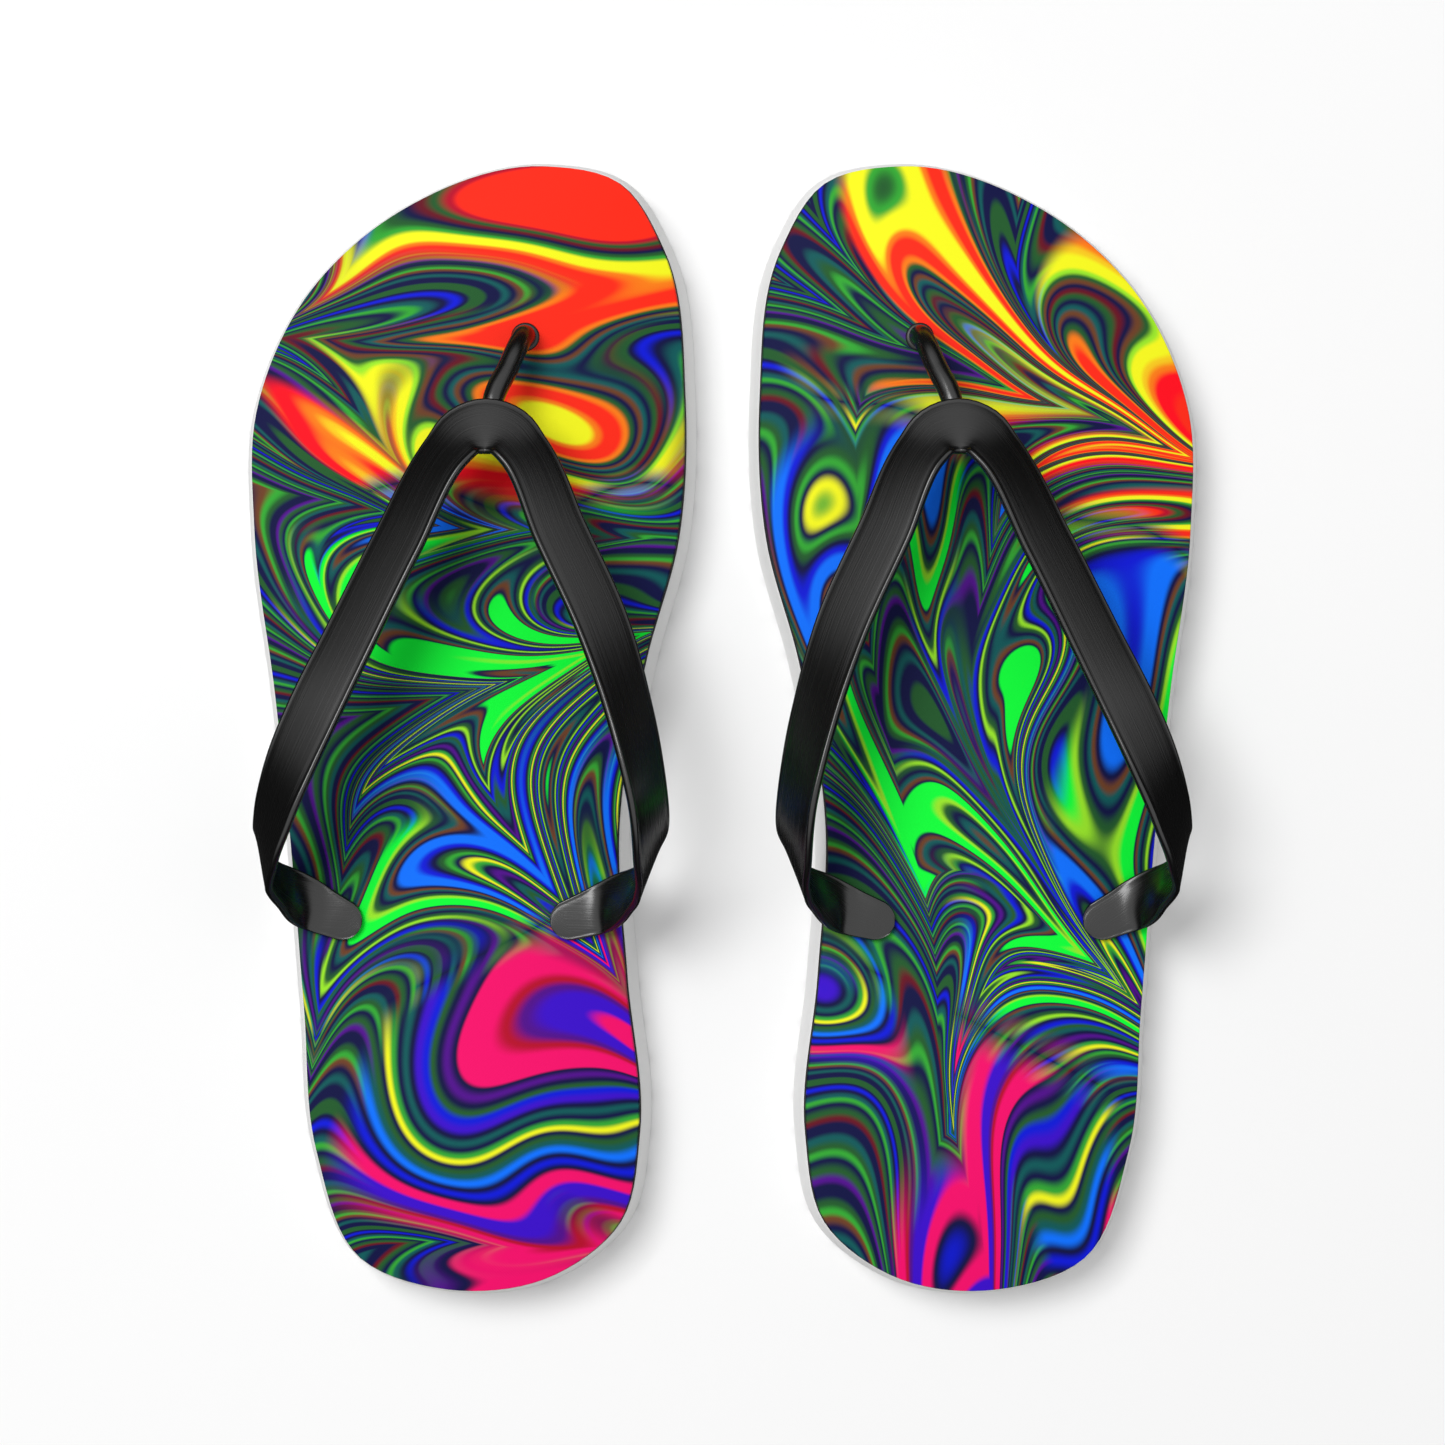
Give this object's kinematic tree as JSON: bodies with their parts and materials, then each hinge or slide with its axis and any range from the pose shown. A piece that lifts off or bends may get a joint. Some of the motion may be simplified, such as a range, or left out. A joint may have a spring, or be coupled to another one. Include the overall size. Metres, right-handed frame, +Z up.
{
  "type": "thong sandals",
  "caption": "Pair of thong sandals: marbled printed footbeds on black foam and white rubber soles, with black ribbon straps held by toe posts and plugs.",
  "frame": {"origin": "on the ground, under the centre of the pair's bounding box, midway between the two sandals", "axes": "+Z up from the ground, +Y from the heels to the toes, +X from the left sandal to the right one"},
  "size_m": [0.232, 0.2762, 0.0504],
  "materials": {
    "outsole": "matt white foam rubber, smooth moulded wall",
    "midsole": "matt black cut foam",
    "printed_top": "printed woven polyester with a marbled pattern",
    "strap": "glossy black soft PVC with fine lengthwise lines",
    "toe_post": "glossy black soft PVC",
    "plugs": "black moulded soft PVC"
  },
  "bodies": {
    "left_heel": {"left_heel_outsole": "outsole", "left_heel_midsole": "midsole", "left_heel_footbed": "printed_top", "left_inner_strap_end": "strap", "left_outer_strap_end": "strap", "left_inner_plug": "plugs", "left_outer_plug": "plugs"},
    "left_forefoot": {"left_forefoot_outsole": "outsole", "left_forefoot_midsole": "midsole", "left_forefoot_footbed": "printed_top", "left_toe_collar": "toe_post", "left_toe_plug": "plugs"},
    "left_strap": {"left_strap": "strap"},
    "left_toe_post": {"left_toe_post": "toe_post"},
    "right_heel": {"right_heel_outsole": "outsole", "right_heel_midsole": "midsole", "right_heel_footbed": "printed_top", "right_inner_strap_end": "strap", "right_outer_strap_end": "strap", "right_inner_plug": "plugs", "right_outer_plug": "plugs"},
    "right_forefoot": {"right_forefoot_outsole": "outsole", "right_forefoot_midsole": "midsole", "right_forefoot_footbed": "printed_top", "right_toe_collar": "toe_post", "right_toe_plug": "plugs"},
    "right_strap": {"right_strap": "strap"},
    "right_toe_post": {"right_toe_post": "toe_post"}
  },
  "joints": [
    {"name": "right_stand_apart", "type": "slide", "parent": "left_heel", "child": "right_heel", "axis": [1, 0, 0], "range_m": [0, 0.06]},
    {"name": "left_sole_flex", "type": "hinge", "parent": "left_heel", "child": "left_forefoot", "pos_m": [-0.061, 0.045, 0.016], "axis": [1, 0, 0], "range_deg": [0, 35], "stiffness_Nm_per_rad": 1.5},
    {"name": "left_strap_tilt", "type": "hinge", "parent": "left_heel", "child": "left_strap", "pos_m": [-0.061, -0.046, 0.02], "axis": [1, 0, 0], "range_deg": [0, 14.8]},
    {"name": "left_post_tilt", "type": "hinge", "parent": "left_forefoot", "child": "left_toe_post", "pos_m": [-0.0474, 0.094, 0.019], "axis": [1, 0, 0], "range_deg": [-40.3, 0]},
    {"name": "right_sole_flex", "type": "hinge", "parent": "right_heel", "child": "right_forefoot", "pos_m": [0.061, 0.045, 0.016], "axis": [1, 0, 0], "range_deg": [0, 35], "stiffness_Nm_per_rad": 1.5},
    {"name": "right_strap_tilt", "type": "hinge", "parent": "right_heel", "child": "right_strap", "pos_m": [0.061, -0.046, 0.02], "axis": [1, 0, 0], "range_deg": [0, 14.8]},
    {"name": "right_post_tilt", "type": "hinge", "parent": "right_forefoot", "child": "right_toe_post", "pos_m": [0.0474, 0.094, 0.019], "axis": [1, 0, 0], "range_deg": [-40.3, 0]}
  ],
  "couplings": [
    {"joint": "left_strap_tilt", "follows": "left_sole_flex", "ratio": 0.42},
    {"joint": "left_post_tilt", "follows": "left_sole_flex", "ratio": -1.15},
    {"joint": "right_strap_tilt", "follows": "right_sole_flex", "ratio": 0.42},
    {"joint": "right_post_tilt", "follows": "right_sole_flex", "ratio": -1.15}
  ]
}
